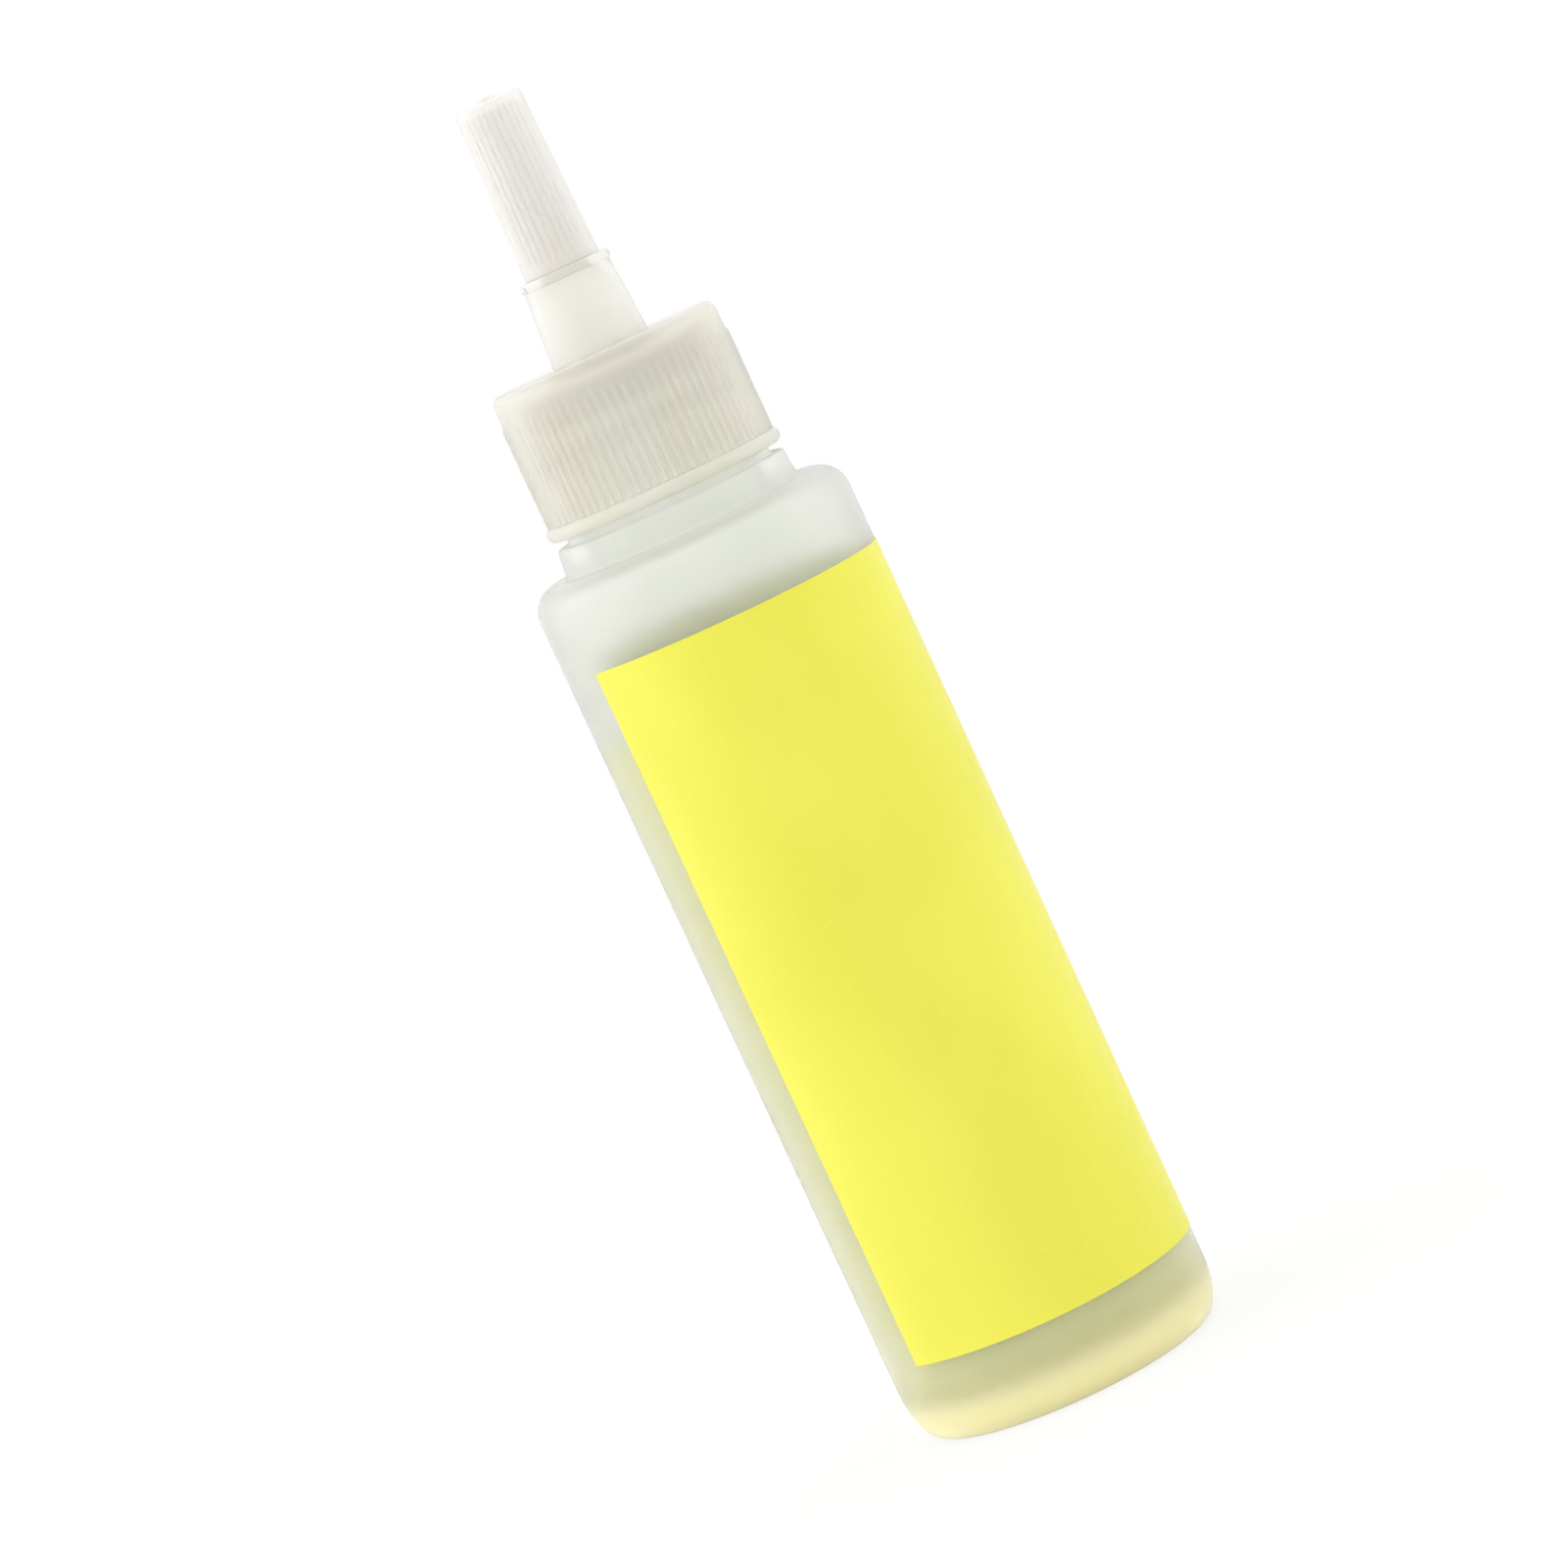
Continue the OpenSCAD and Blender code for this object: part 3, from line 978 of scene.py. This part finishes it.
@dataclass
class Nozzle(Piece):
    """Dropper nozzle with its plug ring, flange, spout, rim and slender tip."""

    body: ClassVar[Body] = Body.NOZZLE
    slot: ClassVar[Slot] = Slot.NOZZLE
    node: ClassVar[str] = "nozzle"
    foot_radius: float = 4.875 * MM
    top_radius: float = 4.35 * MM
    rim_radius: float = 4.475 * MM
    rim_height: float = 0.85 * MM
    lug_share: float = 0.7
    lug_rise: float = 0.2 * MM
    lug_turn: float = 12
    lug_sweep: float = 14
    tube_radius: float = 2.81 * MM
    tip_radius: float = 1.7 * MM
    tip_edge: float = 0.4 * MM
    orifice_radius: float = 0.6 * MM
    orifice_length: float = 1 * MM
    wall: float = 1 * MM
    flange_radius: float = 9.6 * MM
    plug_radius: float = 8.32 * MM
    plug_wall: float = 0.9 * MM
    plug_height: float = 3 * MM
    plug_lead: float = 0.5 * MM
    soft_edge: float = 0.15 * MM
    sides: int = 180
    finish: Finish = field(
        default_factory=lambda: MouldedPlastic(
            name="nozzle_plastic",
            colour=(255, 254, 250),
            drift=(253, 252, 247),
            roughness=0.4,
        )
    )

    def model(self) -> bpy.types.Object:
        """Models the bare nozzle.

        Returns:
            The nozzle with its stop lugs.
        """
        profile = [*self.flange(), *self.spout(), *self.channel()]
        nozzle = turn_profile("dropper_nozzle", [*profile, profile[0]], self.sides, Profile.LOOPED)
        start_edit(nozzle)
        pick(nozzle, self.on_lug, faces=True)
        bpy.ops.mesh.extrude_region_move()
        scale_round_axis((self.rim_radius + self.lug_rise) / self.rim_radius)
        end_edit()
        return nozzle

    def flange(self) -> list[Point]:
        """Gives the section of the plug ring and the flange, from the plug's foot to the spout."""
        edge = self.soft_edge
        lead = self.plug_lead
        plug_foot = STACK.flange_foot - self.plug_height
        return [
            (self.plug_radius - self.plug_wall, plug_foot),
            *arc((self.plug_radius - lead, plug_foot + lead), (lead, lead), -90, 0),
            (self.plug_radius, STACK.flange_foot),
            *arc((self.flange_radius - edge, STACK.flange_foot + edge), (edge, edge), -90, 0, 3),
            *corner(self.flange_radius, STACK.flange_top, edge, 3),
        ]

    def spout(self) -> list[Point]:
        """Gives the outer section from the spout's foot over the rim to the tip."""
        edge = self.soft_edge
        rim_foot = STACK.rim_top - self.rim_height
        return [
            (self.foot_radius, STACK.flange_top),
            (self.foot_radius, STACK.cap_top),
            (self.top_radius, rim_foot - edge),
            *arc((self.rim_radius - edge, rim_foot + edge), (edge, edge), -90, 0, 3),
            (self.rim_radius, rim_foot + self.lug_share * self.rim_height),
            *corner(self.rim_radius, STACK.rim_top, edge, 3),
            *arc((self.tube_radius + edge, STACK.rim_top + edge), (edge, edge), 270, 180, 3),
            *corner(self.tip_radius, STACK.tip, self.tip_edge, 5),
        ]

    def channel(self) -> list[Point]:
        """Gives the inner section from the orifice down to the plug ring."""
        edge = self.soft_edge
        inner = self.foot_radius - self.wall
        plug_inner = self.plug_radius - self.plug_wall
        return [
            *arc((self.orifice_radius + edge, STACK.tip - edge), (edge, edge), 90, 180, 3),
            (self.orifice_radius, STACK.tip - self.orifice_length),
            (self.tube_radius - self.wall, STACK.rim_top),
            (self.top_radius - self.wall, STACK.rim_top - self.rim_height - self.wall),
            (inner, STACK.cap_top),
            (inner, STACK.flange_foot),
            (plug_inner - edge, STACK.flange_foot),
            (plug_inner, STACK.flange_foot - edge),
        ]

    def on_lug(self, middle: Vector) -> bool:
        """Tells whether a face with this middle is drawn out to a stop lug."""
        low = STACK.rim_top - self.rim_height
        turn = math.degrees(math.atan2(middle.y, middle.x)) % 180
        on_side = middle.xy.length > self.rim_radius - 0.05 * MM
        at_height = low < middle.z < low + self.lug_share * self.rim_height
        return on_side and at_height and self.lug_turn < turn < self.lug_turn + self.lug_sweep


@dataclass
class ScrewCap(Piece):
    """Ribbed cap with a bead round its foot and its inner thread."""

    body: ClassVar[Body] = Body.SCREW_CAP
    slot: ClassVar[Slot] = Slot.SCREW_CAP
    node: ClassVar[str] = "screw_cap"
    crease: ClassVar[float] = 40
    radius: float = 11.45 * MM
    edge: float = 0.9 * MM
    bead_rise: float = 0.55 * MM
    bead_height: float = 1.4 * MM
    bore_radius: float = 10.65 * MM
    thread_radius: float = 9.95 * MM
    turns: float = 1.25
    hole_radius: float = 4.975 * MM
    plain_band: float = 2.8 * MM
    rib_fade: float = 0.6 * MM
    root_edge: float = 0.4 * MM
    soft_edge: float = 0.12 * MM
    ribs: Ridges = field(
        default_factory=lambda: Ridges(count=78, columns=8, rise=0.22 * MM, crest=(0, 1, 7), flank=(2, 6))
    )
    finish: Finish = field(
        default_factory=lambda: MouldedPlastic(
            name="screw_cap_plastic",
            colour=(255, 253, 246),
            drift=(253, 250, 240),
            roughness=0.45,
            transmission=0.75,
        )
    )

    def model(self) -> bpy.types.Object:
        """Models the bare cap.

        Returns:
            The cap with its ribs and thread.
        """
        cap = turn_profile("screw_cap_ribbed", self.profile(), self.ribs.sides, Profile.LOOPED)
        self.ribs.press(cap, self.rib_rows())
        root = self.bore_radius + 0.2 * MM
        merge(cap, Thread(root, self.thread_radius, STACK.cap_thread, self.turns).build())
        return cap

    def rib_rows(self) -> list[Point]:
        """Gives the rings that carry the ribs at their full rise."""
        low = STACK.cap_foot + self.bead_height + 0.1 * MM
        high = STACK.cap_top - self.plain_band - self.rib_fade
        return [(self.radius, low), (self.radius, high)]

    def profile(self) -> list[Point]:
        """Gives the section from the inner foot over the outside and back down the bore."""
        soft, root = self.soft_edge, self.root_edge
        bead_middle = (self.radius, STACK.cap_foot + self.bead_height / 2)
        start = (self.bore_radius + soft, STACK.cap_foot)
        return [
            start,
            (self.radius - soft, STACK.cap_foot),
            *arc(bead_middle, (self.bead_rise, self.bead_height / 2), -90, 90, 10),
            *self.rib_rows(),
            (self.radius, STACK.cap_top - self.plain_band),
            *corner(self.radius, STACK.cap_top, self.edge, 8),
            *arc((self.hole_radius + soft, STACK.cap_top - soft), (soft, soft), 90, 180, 3),
            (self.hole_radius, STACK.plate_foot),
            *arc((self.bore_radius - root, STACK.plate_foot - root), (root, root), 90, 0),
            (self.bore_radius, STACK.cap_foot + soft),
            start,
        ]


@dataclass
class TipCap(Piece):
    """Slender fluted cap over the nozzle's tip, with the moulding nub on its top."""

    body: ClassVar[Body] = Body.TIP_CAP
    slot: ClassVar[Slot] = Slot.TIP_CAP
    node: ClassVar[str] = "tip_cap"
    crease: ClassVar[float] = 50
    foot_radius: float = 3.73 * MM
    top_radius: float = 3.35 * MM
    edge: float = 0.3 * MM
    soft_edge: float = 0.1 * MM
    band: float = 0.8 * MM
    flute_fade: float = 0.35 * MM
    flute_rows: int = 8
    nub_radius: float = 0.9 * MM
    nub_height: float = 0.45 * MM
    flutes: Ridges = field(
        default_factory=lambda: Ridges(count=32, columns=8, rise=-0.14 * MM, crest=(0,), flank=(1, 7))
    )
    finish: Finish = field(
        default_factory=lambda: MouldedPlastic(
            name="tip_cap_plastic",
            colour=(255, 253, 250),
            drift=(254, 251, 246),
            roughness=0.42,
            transmission=0.6,
        )
    )

    def model(self) -> bpy.types.Object:
        """Models the bare tip cap.

        Returns:
            The cap with its flutes and nub.
        """
        cap = turn_profile("tip_cap_fluted", self.profile(), self.flutes.sides, Profile.ON_AXIS)
        self.flutes.press(cap, self.fluted())
        return cap

    def outer_radius(self, height: float) -> float:
        """Gives the tapered outside's radius at a height."""
        share = (height - STACK.tip_cap_foot) / STACK.tip_cap
        return self.foot_radius + (self.top_radius - self.foot_radius) * share

    def fluted(self) -> list[Point]:
        """Gives the rings that carry the flutes at their full depth."""
        low = STACK.tip_cap_foot + self.band + self.flute_fade
        high = STACK.tip_cap_top - self.band - self.flute_fade
        heights = [low + (high - low) * i / self.flute_rows for i in range(self.flute_rows + 1)]
        return [(self.outer_radius(height), height) for height in heights]

    def profile(self) -> list[Point]:
        """Gives the section from the ceiling down the hollow and up the outside to the nub."""
        foot, top = STACK.tip_cap_foot, STACK.tip_cap_top
        low, high = foot + self.band, top - self.band
        ceiling = top - STACK.tip_cap_wall
        inner = self.foot_radius - STACK.tip_cap_wall
        soft = self.soft_edge
        return [
            (0.3 * MM, ceiling),
            (self.outer_radius(ceiling) - STACK.tip_cap_wall, ceiling),
            (inner, foot + soft),
            (inner + soft, foot),
            *arc((self.foot_radius - soft, foot + soft), (soft, soft), -90, 0, 3),
            (self.outer_radius(low), low),
            *self.fluted(),
            (self.outer_radius(high), high),
            *corner(self.top_radius, top, self.edge, 5),
            *arc((self.nub_radius + soft, top + soft), (soft, soft), 270, 180, 2),
            *corner(self.nub_radius, top + self.nub_height, soft, 3),
            (0.2 * MM, top + self.nub_height),
        ]


# Studio


@dataclass(frozen=True)
class SoftBox:
    """Square lamp that points at the bottle."""

    name: str
    place: tuple[float, float, float]
    width: float
    height: float
    power: float

    def build(self, target: Vector) -> None:
        """Places the lamp.

        Args:
            target: Point that it faces.
        """
        lamp = bpy.data.lights.new(self.name, "AREA")
        lamp.shape = "RECTANGLE"
        lamp.size, lamp.size_y = self.width, self.height
        lamp.energy = self.power
        holder = bpy.data.objects.new(self.name, lamp)
        bpy.context.scene.collection.objects.link(holder)
        holder.location = self.place
        holder.rotation_euler = (target - Vector(self.place)).to_track_quat("-Z", "Y").to_euler()


def seen_share(tree: bpy.types.NodeTree) -> bpy.types.NodeSocket:
    """Gives 1 for the rays that look at something, straight or through the plastic, and 0 for the rest.

    Args:
        tree: Nodes of the floor or the world.

    Returns:
        The share, which leaves out the rays that only light a piece.
    """
    rays = tree.nodes.new("ShaderNodeLightPath")
    total = rays.outputs["Is Camera Ray"]
    for name in ("Is Glossy Ray", "Is Transmission Ray"):
        larger = tree.nodes.new("ShaderNodeMath")
        larger.operation = "MAXIMUM"
        tree.links.new(total, larger.inputs[0])
        tree.links.new(rays.outputs[name], larger.inputs[1])
        total = larger.outputs[0]
    return total


@dataclass
class Studio:
    """White studio: a pale floor, soft lamps and the camera of the photograph's view."""

    lens: float = 147.3
    distance: float = 604 * MM
    camera_height: float = 123.3 * MM
    aim_height: float = 62.8 * MM
    aside: float = -1.5 * MM
    roll: float = 24.8
    floor_radius: float = 2.5
    floor_white: float = 0.75
    ambient: float = 0.95
    boxes: tuple[SoftBox, ...] = (
        SoftBox("left_box", (-0.75, 0.05, 0.45), 1.2, 0.9, 3.3),
        SoftBox("right_box", (0.75, 0.05, 0.4), 0.8, 0.9, 1.3),
        SoftBox("top_box", (0.0, 0.0, 0.95), 0.7, 0.5, 0.9),
    )

    def build(self) -> None:
        """Sets up the floor, the light and the camera."""
        self._floor()
        self._world()
        target = Vector((0, 0, self.aim_height))
        for box in self.boxes:
            box.build(target)
        self._camera()
        bpy.context.scene.view_settings.view_transform = "Standard"

    def _floor(self) -> None:
        """Lays a round pale floor that fades into the white background."""
        bpy.ops.object.select_all(action="DESELECT")
        bpy.ops.mesh.primitive_circle_add(vertices=96, radius=self.floor_radius, fill_type="TRIFAN")
        floor = take_new("floor")
        bench = NodeBench("pale_floor")
        bench.set(Base_Color=(0.9, 0.9, 0.9, 1.0), Roughness=0.9, Specular_IOR_Level=0.1)
        nodes, links = bench.nodes, bench.links
        white = nodes.new("ShaderNodeEmission")
        white.inputs["Color"].default_value = (1, 1, 1, 1)
        white.inputs["Strength"].default_value = 1
        reach = nodes.new("ShaderNodeVectorMath")
        reach.operation = "LENGTH"
        links.new(bench.place, reach.inputs[0])
        product = nodes.new("ShaderNodeMath")
        product.operation = "MULTIPLY"
        links.new(bench.spread(reach.outputs["Value"], self.floor_white, 1, 0.03, 0.3), product.inputs[0])
        links.new(seen_share(bench.material.node_tree), product.inputs[1])
        mixer = nodes.new("ShaderNodeMixShader")
        links.new(product.outputs[0], mixer.inputs["Fac"])
        links.new(bench.shader.outputs[0], mixer.inputs[1])
        links.new(white.outputs[0], mixer.inputs[2])
        links.new(mixer.outputs[0], nodes["Material Output"].inputs["Surface"])
        floor.data.materials.append(bench.material)

    def _world(self) -> None:
        """Makes a world that looks white and lights the pieces a little less."""
        world = bpy.data.worlds.new("white_studio")
        bpy.context.scene.world = world
        world.use_nodes = True
        nodes, links = world.node_tree.nodes, world.node_tree.links
        background = nodes["Background"]
        background.inputs["Color"].default_value = (1, 1, 1, 1)
        strength = nodes.new("ShaderNodeMapRange")
        strength.inputs["To Min"].default_value = self.ambient
        strength.inputs["To Max"].default_value = 1
        links.new(seen_share(world.node_tree), strength.inputs["Value"])
        links.new(strength.outputs["Result"], background.inputs["Strength"])

    def _camera(self) -> None:
        """Places the camera as the photograph was taken, rolled so that the bottle leans left."""
        data = bpy.data.cameras.new("camera")
        data.lens = self.lens
        camera = bpy.data.objects.new("camera", data)
        bpy.context.scene.collection.objects.link(camera)
        place = Vector((self.aside, -self.distance, self.camera_height))
        aim = Vector((self.aside, 0, self.aim_height))
        facing = (aim - place).to_track_quat("-Z", "Y").to_matrix()
        turned = facing @ Matrix.Rotation(math.radians(-self.roll), 3, "Z")
        camera.matrix_world = Matrix.Translation(place) @ turned.to_4x4()
        bpy.context.scene.camera = camera


def main() -> None:
    """Builds the bottle round its frame, then the studio."""
    logging.basicConfig(level=logging.INFO, format="%(message)s")
    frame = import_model()
    LOG.info("frame: %d nodes", len(frame["nodes"]))
    bottle = BottleBody()
    for piece in (bottle, WrapLabel(), OilFill(bottle), Nozzle(), ScrewCap(), TipCap()):
        piece.build()
    Studio().build()


if __name__ == "__main__":
    main()
